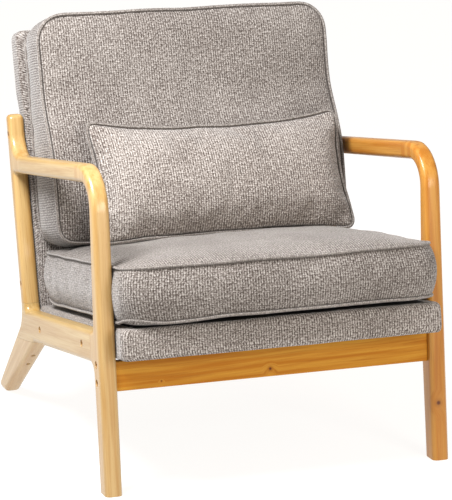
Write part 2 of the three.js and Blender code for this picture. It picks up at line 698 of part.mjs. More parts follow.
function addLumbarPillow() {
  const pillow = new THREE.Group();
  pillow.position.set(PILLOW_PLACE.x, PILLOW_PLACE.y, PILLOW_PLACE.z);
  pillow.rotation.x = -PILLOW.rake;
  const half = ZIP.length / 2;
  const foot = -PILLOW.height / 2;
  const zip = block(
    -half,
    half,
    -ZIP.width / 2,
    ZIP.width / 2,
    foot - ZIP.reach,
    foot + PILLOW.edge / 2,
  );
  const cover = toSolid(pillowSolid(0)).subtract(toSolid(pillowSolid(CUSHION_WALL))).subtract(toSolid(zip));
  pillow.add(mesh("lumbar_pillow_cover", cover, upholstery));
  pillow.add(mesh("lumbar_pillow_fill", pillowSolid(CUSHION_WALL + GAP), foam));
  chair.add(pillow);
}

addSide("left", -1);
addSide("right", 1);
addFrontApron();
addRearStretcher();
addSeatDeck();
addBackPanel();
addSeatCushion();
addBackCushion();
addLumbarPillow();

export default chair;
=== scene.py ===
"""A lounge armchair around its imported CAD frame: loose boxed cushions, a lumbar pillow, an upholstered
seat deck and back panel, and lacquered wood. Metres, +Z up, the front of the chair faces -Y."""

import json
import math

import bmesh
import bpy
import numpy as np
from mathutils import Matrix, Vector, noise
from mathutils.bvhtree import BVHTree


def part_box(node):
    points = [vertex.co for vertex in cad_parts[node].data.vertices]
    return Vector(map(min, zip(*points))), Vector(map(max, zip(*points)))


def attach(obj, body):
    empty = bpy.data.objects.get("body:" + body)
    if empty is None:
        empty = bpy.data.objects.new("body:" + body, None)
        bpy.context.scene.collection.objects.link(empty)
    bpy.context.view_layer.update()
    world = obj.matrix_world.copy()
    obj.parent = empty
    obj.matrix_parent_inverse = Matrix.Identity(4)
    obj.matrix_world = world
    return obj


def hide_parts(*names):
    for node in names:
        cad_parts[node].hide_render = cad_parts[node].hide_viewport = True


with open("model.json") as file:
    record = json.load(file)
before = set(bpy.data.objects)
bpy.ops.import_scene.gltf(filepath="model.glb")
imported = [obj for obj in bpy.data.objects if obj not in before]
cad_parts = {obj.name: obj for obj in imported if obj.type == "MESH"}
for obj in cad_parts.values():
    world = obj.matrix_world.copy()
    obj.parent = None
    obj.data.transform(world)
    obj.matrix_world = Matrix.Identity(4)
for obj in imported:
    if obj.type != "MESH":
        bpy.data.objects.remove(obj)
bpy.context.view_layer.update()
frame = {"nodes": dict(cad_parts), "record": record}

MM = 0.001
SEAT_TILT = math.radians(9.5)  # seat deck and seat cushion, down towards the back
BACK_RAKE = math.radians(14.5)
PILLOW_RAKE = math.radians(29)

# ---- Camera and light ----

CAMERA_AZIMUTH = math.radians(-19.45)
CAMERA_ELEVATION = math.radians(13.46)
CAMERA_DISTANCE = 4.911
CAMERA_TARGET = Vector((0.0021, -0.0494, 0.3527))
LENS = 188.5
LIGHTS_AIM_AT = Vector((0, 0, 0.4))


def direction(azimuth, elevation):
    """The unit vector from the chair towards a viewer; azimuth 0 is in front of it."""
    flat = math.cos(elevation)
    return Vector((flat * math.sin(azimuth), -flat * math.cos(azimuth), math.sin(elevation)))


def add_camera():
    data = bpy.data.cameras.new("camera")
    data.lens = LENS
    data.clip_end = 100
    camera = bpy.data.objects.new("camera", data)
    bpy.context.scene.collection.objects.link(camera)
    towards = direction(CAMERA_AZIMUTH, CAMERA_ELEVATION)
    camera.location = CAMERA_TARGET + towards * CAMERA_DISTANCE
    camera.rotation_euler = towards.to_track_quat("Z", "Y").to_euler()
    bpy.context.scene.camera = camera


def add_softbox(name, azimuth, elevation, distance, size, power, color):
    data = bpy.data.lights.new(name, "AREA")
    data.shape = "DISK"
    data.size = size
    data.energy = power
    data.color = color
    light = bpy.data.objects.new(name, data)
    bpy.context.scene.collection.objects.link(light)
    towards = direction(math.radians(azimuth), math.radians(elevation))
    light.location = LIGHTS_AIM_AT + towards * distance
    light.rotation_euler = towards.to_track_quat("Z", "Y").to_euler()


# Azimuth and elevation in degrees, distance and size in metres, power in watts, and colour.
SOFTBOXES = {
    "key_light": (-64, 54, 1.8, 0.8, 66, (0.98, 0.985, 1.0)),
    "fill_light": (16, 16, 4.0, 1.5, 68, (1.0, 0.94, 0.86)),
}
WORLD_COLOR = (1.0, 0.965, 0.93)
WORLD_STRENGTH = 0.4
FLOOR_COLOR = (0.2, 0.2, 0.2)
FLOOR_GLOW_COLOR = (1.0, 0.985, 0.965)
FLOOR_GLOW = 0.92  # a lit sweep under the chair, which keeps its shadow faint
FLOOR_SIZE = 40
FLOOR_DROP = 0.5 * MM  # so that the floor doesn't flicker with the feet


def add_studio():
    for name, settings in SOFTBOXES.items():
        add_softbox(name, *settings)
    world = bpy.data.worlds.new("studio")
    world.use_nodes = True
    background = world.node_tree.nodes["Background"]
    background.inputs["Color"].default_value = (*WORLD_COLOR, 1)
    background.inputs["Strength"].default_value = WORLD_STRENGTH
    bpy.context.scene.world = world
    bpy.context.scene.view_settings.view_transform = "Standard"
    bpy.context.scene.view_settings.look = "None"

    material = bpy.data.materials.new("studio_floor")
    material.use_nodes = True
    shader = material.node_tree.nodes["Principled BSDF"]
    shader.inputs["Base Color"].default_value = (*FLOOR_COLOR, 1)
    shader.inputs["Roughness"].default_value = 0.9
    shader.inputs["Specular IOR Level"].default_value = 0.1
    shader.inputs["Emission Color"].default_value = (*FLOOR_GLOW_COLOR, 1)
    shader.inputs["Emission Strength"].default_value = FLOOR_GLOW
    bpy.ops.mesh.primitive_plane_add(size=FLOOR_SIZE, location=(0, 0, -FLOOR_DROP))
    floor = bpy.context.object
    floor.name = "floor"
    floor.data.materials.append(material)


# ---- Node-based materials ----


class Nodes:
    """A short way to write a material's node tree."""

    def __init__(self, name):
        self.material = bpy.data.materials.new(name)
        self.material.use_nodes = True
        self.tree = self.material.node_tree
        self.shader = self.tree.nodes["Principled BSDF"]

    def add(self, kind, inputs=None, **settings):
        node = self.tree.nodes.new("ShaderNode" + kind)
        for key, value in settings.items():
            setattr(node, key, value)
        for key, value in (inputs or {}).items():
            if isinstance(value, bpy.types.NodeSocket):
                self.tree.links.new(value, node.inputs[key])
            else:
                node.inputs[key].default_value = value
        return node

    def link(self, source, target):
        self.tree.links.new(source, target)

    def math(self, operation, a, b=None):
        node = self.add("Math", operation=operation)
        for socket, value in zip(node.inputs, (a, b)):
            if isinstance(value, bpy.types.NodeSocket):
                self.link(value, socket)
            elif value is not None:
                socket.default_value = value
        return node.outputs[0]

    def spread(self, value, low, high, to_low=0.0, to_high=1.0):
        node = self.add("MapRange", {"Value": value, "From Min": low, "From Max": high})
        node.inputs["To Min"].default_value = to_low
        node.inputs["To Max"].default_value = to_high
        return node.outputs["Result"]

    def mix(self, factor, a, b):
        node = self.add("Mix", data_type="RGBA")
        for socket, value in ((node.inputs[0], factor), (node.inputs[6], a), (node.inputs[7], b)):
            if isinstance(value, bpy.types.NodeSocket):
                self.link(value, socket)
            elif isinstance(value, (int, float)):
                socket.default_value = value
            else:
                socket.default_value = (*value, 1)
        return node.outputs[2]

    def scaled(self, vector, scale):
        return self.add("Mapping", {"Vector": vector, "Scale": scale}).outputs[0]

    def noise(self, vector, scale, detail=2.0, roughness=0.5):
        inputs = {"Vector": vector, "Scale": scale, "Detail": detail, "Roughness": roughness}
        return self.add("TexNoise", inputs).outputs["Fac"]

    def bump(self, height, distance, strength):
        node = self.add("Bump", {"Height": height, "Distance": distance, "Strength": strength})
        return node.outputs["Normal"]


RIB_PITCH = 4.7 * MM  # from one vertical rib of the cloth to the next
LOOP_LENGTH = 3.7 * MM  # along a rib
YARN_WANDER = 0.9 * MM  # how far a rib or a row of loops strays
# How much of the cloth's tone each of its patterns makes.
WAFFLE_SHARE, YARN_SHARE, FLECK_SHARE, FIBRE_SHARE, PATCH_SHARE = 0.42, 0.2, 0.44, 0.12, 0.05
WEAVE_DEPTH = 0.9 * MM


def upholstery(name, colors, shade=1.0):
    """Grey melange cloth with a small waffle of ribs and loops, laid out by the mesh's own flat pattern.
    `shade` scales its lightness, to match the tone that a piece has in the photo: painted light above 1 and
    painted shade below 1."""
    n = Nodes(name)
    dark, middle, light = ([shade * c for c in color] for color in colors)
    pattern = n.add("UVMap", uv_map="pattern").outputs[0]
    place = n.add("TexCoord").outputs["Object"]
    stray = (0, 1, -YARN_WANDER, YARN_WANDER)
    flat = n.add("SeparateXYZ", {"Vector": pattern})
    across = n.math("ADD", flat.outputs["X"], n.spread(n.noise(pattern, 130, 2), *stray))
    along = n.math("ADD", flat.outputs["Y"], n.spread(n.noise(pattern, 170, 1), *stray))
    rib = n.spread(n.math("SINE", n.math("MULTIPLY", across, 2 * math.pi / RIB_PITCH)), -1, 1)
    loop = n.spread(n.math("SINE", n.math("MULTIPLY", along, 2 * math.pi / LOOP_LENGTH)), -1, 1)
    waffle = n.math("MULTIPLY", n.spread(rib, 0, 1, 0.1, 1), n.spread(loop, 0, 1, 0.5, 1))
    yarns = n.add(
        "TexVoronoi",
        {"Vector": n.scaled(pattern, (1 / RIB_PITCH, 1 / LOOP_LENGTH, 1)), "Scale": 1.5},
        voronoi_dimensions="2D",
    )
    yarn_shade = n.add("SeparateColor", {"Color": yarns.outputs["Color"]}).outputs[0]
    fleck = n.noise(n.scaled(pattern, (1, 0.75, 1)), 360, 1, 0.6)
    fibre = n.noise(pattern, 1100, 2, 0.6)
    patch = n.noise(place, 8, 3)

    tone = n.math("MULTIPLY", waffle, WAFFLE_SHARE)
    tone = n.math("ADD", tone, n.math("MULTIPLY", yarn_shade, YARN_SHARE))
    tone = n.math("ADD", tone, n.math("MULTIPLY", n.spread(fleck, 0.34, 0.66), FLECK_SHARE))
    tone = n.math("ADD", tone, n.math("MULTIPLY", n.spread(fibre, 0.3, 0.7), FIBRE_SHARE))
    tone = n.math("ADD", tone, n.spread(patch, 0.3, 0.7, -PATCH_SHARE, PATCH_SHARE))
    low = n.mix(n.spread(tone, 0.25, 0.55), dark, middle)
    color = n.mix(n.spread(tone, 0.55, 0.9), low, light)
    n.link(color, n.shader.inputs["Base Color"])

    height = n.math("ADD", waffle, n.math("MULTIPLY", fleck, 0.6))
    n.link(n.bump(height, WEAVE_DEPTH, 0.8), n.shader.inputs["Normal"])
    n.shader.inputs["Roughness"].default_value = 0.95
    n.shader.inputs["Specular IOR Level"].default_value = 0.12
    n.shader.inputs["Sheen Weight"].default_value = 0.3
    n.shader.inputs["Sheen Roughness"].default_value = 0.5
    return n.material


GRAIN_BEND = 12 * MM  # how far the grain wanders, and how far it gives way to a knot
PORE_DEPTH = 0.12 * MM


def wood(name, along, pale, amber, streak, coat, knots=()):
    """Satin lacquered wood. `along` is the direction of the grain, and `knots` are (centre, radius)."""
    n = Nodes(name)
    place = n.add("TexCoord").outputs["Object"]
    turn = Vector(along).rotation_difference(Vector((0, 0, 1))).to_euler()
    grain_place = n.add("Mapping", {"Vector": place, "Rotation": turn}).outputs[0]
    distances = []
    swirl = 0.0
    for centre, radius in knots:
        away = n.add("VectorMath", {0: place, 1: centre}, operation="DISTANCE").outputs["Value"]
        distances.append((away, radius))
        swirl = n.math("ADD", n.spread(away, 0.6 * radius, 5.0 * radius, 1.0, 0.0), swirl)
    warp = n.noise(n.scaled(grain_place, (1, 1, 0.12)), 14, 2)
    split = n.add("SeparateXYZ", {"Vector": grain_place})
    bent = n.math("ADD", split.outputs["X"], n.spread(warp, 0, 1, -GRAIN_BEND, GRAIN_BEND))
    if knots:
        bent = n.math("ADD", bent, n.math("MULTIPLY", swirl, GRAIN_BEND))
    twisted = n.add("CombineXYZ", {"X": bent, "Y": split.outputs["Y"], "Z": split.outputs["Z"]}).outputs[0]
    year = n.noise(n.scaled(twisted, (1, 0.8, 0.035)), 95, 3, 0.55)
    fibre = n.noise(n.scaled(twisted, (1, 1, 0.018)), 520, 3, 0.6)
    cloud = n.noise(n.scaled(place, (1, 1, 0.5)), 7, 2)
    pore = n.noise(n.scaled(grain_place, (1, 1, 0.05)), 1500, 1)

    color = n.mix(n.spread(year, 0.4, 0.62), pale, amber)
    color = n.mix(n.spread(fibre, 0.5, 0.78, 0.0, 0.45), color, streak)
    color = n.mix(n.spread(cloud, 0.3, 0.7, 0.0, 0.3), color, amber)
    color = n.mix(n.spread(pore, 0.68, 0.75, 0.0, 0.35), color, streak)
    for away, radius in distances:
        color = n.mix(n.spread(away, 0.5 * radius, 2.2 * radius, 0.6, 0.0), color, streak)
        color = n.mix(n.spread(away, 0.4 * radius, radius, 0.95, 0.0), color, KNOT_COLOR)
    n.link(color, n.shader.inputs["Base Color"])
    n.link(n.spread(fibre, 0.3, 0.7, 0.3, 0.42), n.shader.inputs["Roughness"])
    n.link(n.bump(n.math("ADD", fibre, pore), PORE_DEPTH, 0.35), n.shader.inputs["Normal"])
    n.shader.inputs["IOR"].default_value = 1.5
    n.shader.inputs["Specular IOR Level"].default_value = 0.5 * coat
    n.shader.inputs["Coat Weight"].default_value = coat
    n.shader.inputs["Coat Roughness"].default_value = 0.26
    return n.material


def plain(name, color, roughness, grain, depth, metallic=0.0, stretch=(1, 1, 1), vary=0.3):
    """A material with a fine grain in its tone and surface, such as foam, cloth backing or plated steel."""
    n = Nodes(name)
    place = n.scaled(n.add("TexCoord").outputs["Object"], stretch)
    speck = n.noise(place, grain, 3)
    shade = [c * (1 - vary) for c in color]
    n.link(n.mix(n.spread(speck, 0.3, 0.7), shade, color), n.shader.inputs["Base Color"])
    n.link(n.spread(speck, 0.2, 0.8, roughness - 0.08, roughness + 0.05), n.shader.inputs["Roughness"])
    n.link(n.bump(speck, depth, 0.5), n.shader.inputs["Normal"])
    n.shader.inputs["Metallic"].default_value = metallic
    return n.material


KNOT_COLOR = (0.1, 0.022, 0.006)
# Each wood is its pale, amber and streak colours and the weight of its lacquer. The tones of the left and
# the right side are fitted to the photo's view: one wood in painted light on the left and painted shade on
# the right. The amber wood is amber and also darker as painted shade under the deck. The real wood is most
# likely the same on both.
LIT_PALE_WOOD = ((0.5, 0.345, 0.14), (0.42, 0.25, 0.075), (0.28, 0.135, 0.035), 0.6)
LIT_LEG_WOOD = ((0.52, 0.345, 0.14), (0.42, 0.24, 0.072), (0.28, 0.12, 0.025), 0.6)
SHADED_HONEY_WOOD = ((0.53, 0.255, 0.047), (0.42, 0.155, 0.015), (0.24, 0.075, 0.006), 0.45)
AMBER_AND_SHADED_WOOD = ((0.56, 0.265, 0.028), (0.42, 0.147, 0.007), (0.22, 0.055, 0.003), 0.14)
# Each cloth is its dark, middle and light colours.
CLOTH = ((0.055, 0.041, 0.034), (0.2, 0.172, 0.154), (0.47, 0.435, 0.405))
PIPING_CLOTH = ((0.11, 0.093, 0.082), (0.18, 0.158, 0.143), (0.37, 0.34, 0.315))
# The seam thread is dark, and it is also painted shade in the seams' grooves.
SEAM_THREAD_AND_SHADE = (0.07, 0.056, 0.048)
BACKING_AND_SHADE = (0.028, 0.027, 0.026)
BRONZE = (0.55, 0.3, 0.11)
FOAM = (0.8, 0.74, 0.55)
ELASTIC = (0.06, 0.058, 0.055)
# Painted light and painted shade: lit and shaded copies of the one cloth, fitted to each piece's tone in the
# photo, in that view only. The real cloth is most likely all one shade.
DECK_PAINTED_LIGHT, SEAT_PAINTED_SHADE, BACK_PAINTED_SHADE, PILLOW_PAINTED_LIGHT = 1.1, 0.87, 0.83, 1.1


# ---- The frame's own materials ----


def smooth_corners(node):
    """Rounds the shading of a faceted CAD solid between its flat faces, without touching its mesh."""
    weld = node.modifiers.new("weld", "WELD")
    weld.merge_threshold = 0.01 * MM
    smooth = node.modifiers.new("smooth", "NODES")
    smooth.node_group = bpy.data.node_groups.get("smooth_by_angle") or make_smooth_group()
    weighted = node.modifiers.new("weighted", "WEIGHTED_NORMAL")
    weighted.mode = "FACE_AREA"
    weighted.weight = 60
    weighted.keep_sharp = True


SHARP_ANGLE = math.radians(42)


def make_smooth_group():
    group = bpy.data.node_groups.new("smooth_by_angle", "GeometryNodeTree")
    group.interface.new_socket("Geometry", in_out="INPUT", socket_type="NodeSocketGeometry")
    group.interface.new_socket("Geometry", in_out="OUTPUT", socket_type="NodeSocketGeometry")
    nodes, links = group.nodes, group.links
    start = nodes.new("NodeGroupInput")
    end = nodes.new("NodeGroupOutput")
    faces = nodes.new("GeometryNodeSetShadeSmooth")
    edges = nodes.new("GeometryNodeSetShadeSmooth")
    edges.domain = "EDGE"
    edges.inputs["Shade Smooth"].default_value = False
    angle = nodes.new("GeometryNodeInputMeshEdgeAngle")
    compare = nodes.new("FunctionNodeCompare")
    compare.operation = "GREATER_THAN"
    compare.inputs["B"].default_value = SHARP_ANGLE
    links.new(start.outputs[0], faces.inputs["Geometry"])
    links.new(faces.outputs[0], edges.inputs["Geometry"])
    links.new(angle.outputs["Unsigned Angle"], compare.inputs["A"])
    links.new(compare.outputs["Result"], edges.inputs["Selection"])
    links.new(edges.outputs[0], end.inputs[0])
    return group


def dress(node, material):
    piece = frame["nodes"][node]
    if not piece.material_slots:
        piece.data.materials.append(None)
    for slot in piece.material_slots:
        slot.link = "OBJECT"
        slot.material = material


# Each knot is how far across and up its piece it is, and its radius.
LEG_KNOT = (0.42, 0.187, 5 * MM)
APRON_KNOTS = ((0.485, 0.3, 3.2 * MM), (0.14, 0.25, 1.4 * MM))


def knot(node, across, up, radius):
    """A knot on the front face of a board or leg: fractions of its width and height, and a radius."""
    low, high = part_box(node)
    x = low[0] + across * (high[0] - low[0])
    z = low[2] + up * (high[2] - low[2])
    tree = BVHTree.FromObject(frame["nodes"][node], bpy.context.evaluated_depsgraph_get())
    spot = tree.ray_cast(Vector((x, -1, z)), Vector((0, 1, 0)))[0]
    return spot, radius


def dress_frame():
    # The directions that the grain runs in.
    upright = (0, 0.13, 1)
    sloping = (0, math.cos(SEAT_TILT), -math.sin(SEAT_TILT))
    raked = (0, math.sin(BACK_RAKE), math.cos(BACK_RAKE))
    splayed = (0, -0.77, 0.64)
    for side in ("left", "right"):
        # Painted light and painted shade: the left side's woods are lit copies and the right side's shaded
        # copies of the one wood.
        pale, legs = (LIT_PALE_WOOD, LIT_LEG_WOOD) if side == "left" else (SHADED_HONEY_WOOD, SHADED_HONEY_WOOD)
        knots = [knot("right_front_leg", *LEG_KNOT)] if side == "right" else []
        dress(side + "_front_leg", wood(side + "_leg_wood", upright, *legs, knots=knots))
        dress(side + "_armrest", wood(side + "_arm_wood", sloping, *pale))
        dress(side + "_side_rail", wood(side + "_rail_wood", sloping, *pale))
        dress(side + "_rear_post", wood(side + "_post_wood", raked, *legs))
        dress(side + "_rear_leg", wood(side + "_rear_leg_wood", splayed, *legs))
    apron_knots = [knot("front_apron", *spot) for spot in APRON_KNOTS]
    # The apron's wood is amber, and it is also darker as painted shade under the deck.
    dress("front_apron", wood("apron_wood", (1, 0, 0.03), *AMBER_AND_SHADED_WOOD, knots=apron_knots))
    dress("rear_stretcher", wood("stretcher_wood", (1, 0, 0.02), *AMBER_AND_SHADED_WOOD))

    bronze = plain("bronzed_steel", BRONZE, 0.42, 700, 0.05 * MM, metallic=0.7)
    pine = wood("softwood", (1, 0.02, 0), *LIT_PALE_WOOD)
    foam = plain("foam", FOAM, 0.92, 500, 0.4 * MM, vary=0.15)
    elastic = plain("webbing", ELASTIC, 0.85, 900, 0.3 * MM, stretch=(1, 0.3, 1), vary=0.5)
    slots = {"bronzed_steel": bronze, "softwood": pine, "foam": foam, "webbing": elastic}
    for part in frame["record"]["subparts"]:
        node, slot = part["node"], part["material_slot"]
        if slot in slots:
            dress(node, slots[slot])
        if slot in ("pale_wood", "amber_wood", "bronzed_steel"):
            smooth_corners(frame["nodes"][node])


# ---- Soft goods: flat patterns, cloth and seams ----


FACING_FRONT = Matrix.Rotation(math.pi / 2, 4, "X")  # u across, v up and w to the front


def turned(angle):
    """Leans upright axes back by `angle`, as the seat, the back and the pillow do."""
    return Matrix.Rotation(-angle, 4, "X")


def local_box(node, angle):
    """A CAD node's lowest and highest corners in axes that lean back by `angle`."""
    back_upright = turned(angle).inverted()
    points = np.array([back_upright @ v.co for v in frame["nodes"][node].data.vertices])
    return Vector(points.min(0)), Vector(points.max(0))


def rounded(x, y, half_x, half_y, radius, shares):
    """Moves a point of a rectangle into the same rectangle with rounded corners, as a square maps to a disc.
    `shares` are how much of that the corners at low y and at high y get."""
    over_x = max(0.0, abs(x) - (half_x - radius)) / radius
    over_y = max(0.0, abs(y) - (half_y - radius)) / radius
    if over_x <= 0 or over_y <= 0:
        return x, y
    new_x = (half_x - radius) + radius * over_x * math.sqrt(1 - over_y**2 / 2)
    new_y = (half_y - radius) + radius * over_y * math.sqrt(1 - over_x**2 / 2)
    part = shares[int(y > 0)]
    new_x = abs(x) + part * (new_x - abs(x))
    new_y = abs(y) + part * (new_y - abs(y))
    return math.copysign(new_x, x), math.copysign(new_y, y)


def even_steps(half, radius, step):
    """Stations from -half to half, evenly spaced but with one on each side where the corner starts."""
    inner = half - radius
    count = max(2, round(2 * inner / step))
    corner = max(2, round(radius / step))
    middle = np.linspace(-inner, inner, count + 1)
    rim = np.linspace(inner, half, corner + 1)[1:]
    return np.concatenate([-rim[::-1], middle, rim])


class Cushion:
    """A boxed cushion in its own axes: two faces of cloth, seen along w, and a boxing strip between them.
    A knife-edge pillow is the same with no boxing. Row 0 of the rim is the back seam, the last the front."""

    def __init__(self, name, half_u, half_v, radius, step, rim_rows, corner_shares=(1, 1)):
        self.name = name
        self.corner_shares = corner_shares
        self.us = even_steps(half_u, radius, step)
        self.vs = even_steps(half_v, radius, step)
        self.half_u, self.half_v, self.radius = half_u, half_v, radius
        self.rim_rows = rim_rows
        self.points = []
        self.faces = []
        self.pattern = []

    def outline(self):
        """Grid places round the edge of a face, once round."""
        nu, nv = len(self.us) - 1, len(self.vs) - 1
        bottom = [(i, 0) for i in range(nu)]
        right = [(nu, j) for j in range(nv)]
        top = [(i, nv) for i in range(nu, 0, -1)]
        left = [(0, j) for j in range(nv, 0, -1)]
        return bottom + right + top + left

    def build(self, face_height, rim_point, inside=None):
        """face_height(u, v, side) is w on the face on that side, rim_point(u, v, row) is a point on the rim,
        and inside(u, v, side) is where a flat point of a face goes."""
        nu, nv = len(self.us), len(self.vs)
        ring = self.outline()
        outer = (self.half_u, self.half_v, self.radius, self.corner_shares)
        flat = {(i, j): rounded(self.us[i], self.vs[j], *outer) for i in range(nu) for j in range(nv)}
        rows = range(self.rim_rows + 1)
        rim = [[self.add_point(rim_point(*flat[spot], row)) for spot in ring] for row in rows]
        self.rim = rim
        for side, edge in ((-1, rim[0]), (1, rim[-1])):
            index = dict(zip(ring, edge))
            for spot, (u, v) in flat.items():
                if spot not in index:
                    along = inside(u, v, side) if inside else (u, v)
                    index[spot] = self.add_point((*along, face_height(u, v, side)))
            for i in range(nu - 1):
                for j in range(nv - 1):
                    quad = [(i, j), (i + 1, j), (i + 1, j + 1), (i, j + 1)]
                    self.add_face([index[s] for s in quad], [flat[s] for s in quad], side > 0)
        run = [0.0]
        for a, b in zip(ring, ring[1:] + ring[:1]):
            run.append(run[-1] + math.dist(flat[a], flat[b]))
        low = 0.0
        for row in range(self.rim_rows):
            high = low + math.dist(self.points[rim[row][0]], self.points[rim[row + 1][0]])
            for k in range(len(ring)):
                after = (k + 1) % len(ring)
                quad = [rim[row][k], rim[row][after], rim[row + 1][after], rim[row + 1][k]]
                spots = [(run[k], low), (run[k + 1], low), (run[k + 1], high), (run[k], high)]
                self.add_face(quad, spots, True)
            low = high
        return self.make_mesh()

    def add_point(self, point):
        self.points.append(tuple(point))
        return len(self.points) - 1

    def add_face(self, corners, spots, forwards):
        self.faces.append(corners if forwards else corners[::-1])
        self.pattern.extend(spots if forwards else spots[::-1])

    def make_mesh(self):
        mesh = bpy.data.meshes.new(self.name)
        mesh.from_pydata(self.points, [], self.faces)
        layer = mesh.uv_layers.new(name="pattern")
        layer.data.foreach_set("uv", np.array(self.pattern, float).ravel())
        mesh.polygons.foreach_set("use_smooth", [True] * len(mesh.polygons))
        piece = bpy.data.objects.new(self.name, mesh)
        bpy.context.scene.collection.objects.link(piece)
        return piece


def get_points(piece):
    points = np.empty(3 * len(piece.data.vertices))
    piece.data.vertices.foreach_get("co", points)
    return points.reshape(-1, 3)


def set_points(piece, points):
    piece.data.vertices.foreach_set("co", np.asarray(points, float).ravel())
    piece.data.update()


CLOTH_FRAMES = 20
CLOTH_STIFFNESS = 15
CLOTH_BENDING = 0.5
CLOTH_MASS = 0.3


def inflate(piece, held, pressure, slack, cap):
    """Blows the cloth up with its held points fixed, and keeps the shape that it settles in. `slack` is how
    much the cloth may grow, and no point moves further than `cap`."""
    before = get_points(piece)
    group = piece.vertex_groups.new(name="held")
    for index, weight in held.items():
        group.add([index], weight, "REPLACE")
    cloth = piece.modifiers.new("cloth", "CLOTH")
    settings = cloth.settings
    settings.quality = 6
    settings.mass = CLOTH_MASS
    settings.tension_stiffness = CLOTH_STIFFNESS
    settings.compression_stiffness = CLOTH_STIFFNESS
    settings.shear_stiffness = CLOTH_STIFFNESS / 3
    settings.bending_stiffness = CLOTH_BENDING
    settings.vertex_group_mass = "held"
    settings.shrink_min = -slack
    settings.use_pressure = True
    settings.uniform_pressure_force = pressure
    settings.effector_weights.gravity = 0
    cloth.collision_settings.use_collision = False
    cloth.point_cache.frame_start = 1
    cloth.point_cache.frame_end = CLOTH_FRAMES
    scene = bpy.context.scene
    for number in range(1, CLOTH_FRAMES + 1):
        scene.frame_set(number)
    evaluated = piece.evaluated_get(bpy.context.evaluated_depsgraph_get())
    after = np.empty(3 * len(evaluated.data.vertices))
    evaluated.data.vertices.foreach_get("co", after)
    move = after.reshape(-1, 3) - before
    length = np.linalg.norm(move, axis=1, keepdims=True)
    limited = cap * np.tanh(length / cap)
    set_points(piece, before + move * limited / np.maximum(length, 1e-9))
    piece.modifiers.remove(cloth)
    piece.vertex_groups.remove(group)
    scene.frame_set(1)


def soften(piece, held, rounds, amount):
    """Evens out the cloth between its held points."""
    mesh = piece.data
    edges = np.array([e.vertices[:] for e in mesh.edges])
    points = get_points(piece)
    count = np.bincount(edges.ravel(), minlength=len(points))[:, None]
    fixed = np.zeros((len(points), 1), bool)
    fixed[list(held)] = True
    for _ in range(rounds):
        total = np.zeros_like(points)
        np.add.at(total, edges[:, 0], points[edges[:, 1]])
        np.add.at(total, edges[:, 1], points[edges[:, 0]])
        moved = points + amount * (total / count - points)
        points = np.where(fixed, points, moved)
    set_points(piece, points)


def ripple(piece, size, depth, seed):
    """Soft unevenness of a stuffed surface: bumps `size` across and `depth` high, along the normals."""
    points = get_points(piece)
    normals = np.empty(points.size)
    piece.data.vertex_normals.foreach_get("vector", normals)
    normals = normals.reshape(-1, 3)
    lift = [noise.noise(Vector(p) / size + Vector((seed, 0, 0))) for p in points]
    set_points(piece, points + normals * depth * np.array(lift)[:, None])


CLEARANCE = 0.8 * MM
DEEPEST_PRESS = 45 * MM


def settle(piece, neighbour):
    """Presses the piece flat where it would reach into its neighbour."""
    bpy.context.view_layer.update()
    tree = BVHTree.FromObject(neighbour, bpy.context.evaluated_depsgraph_get())
    points = get_points(piece)
    for i, point in enumerate(points):
        spot, normal, _, distance = tree.find_nearest(Vector(point))
        depth = (Vector(point) - spot).dot(normal)
        if depth < CLEARANCE and distance < DEEPEST_PRESS:
            points[i] = spot + normal * CLEARANCE
    set_points(piece, points)


def subdivide(piece):
    modifier = piece.modifiers.new("fine", "SUBSURF")
    modifier.levels = 1
    modifier.render_levels = 1
    modifier.uv_smooth = "NONE"


CORD_RADIUS = 3.2 * MM
CORD_OUT = 1.8 * MM
CORD_SIDES = 8
# The sewn line is a dark thread in the seam's groove, and its darkness also stands for the shade there:
# painted shade.
THREAD_RADIUS = 0.8 * MM
THREAD_AT = {  # how far out and up the sewn line is from the seam
    "face": (-1.8 * MM, 0.9 * MM),
    "boxing": (0.9 * MM, -3.3 * MM),
    "above": (0.9 * MM, 3.3 * MM),
}


def smoothed_ring(ring):
    for _ in range(3):
        ring = 0.5 * ring + 0.25 * (np.roll(ring, 1, 0) + np.roll(ring, -1, 0))
    return ring


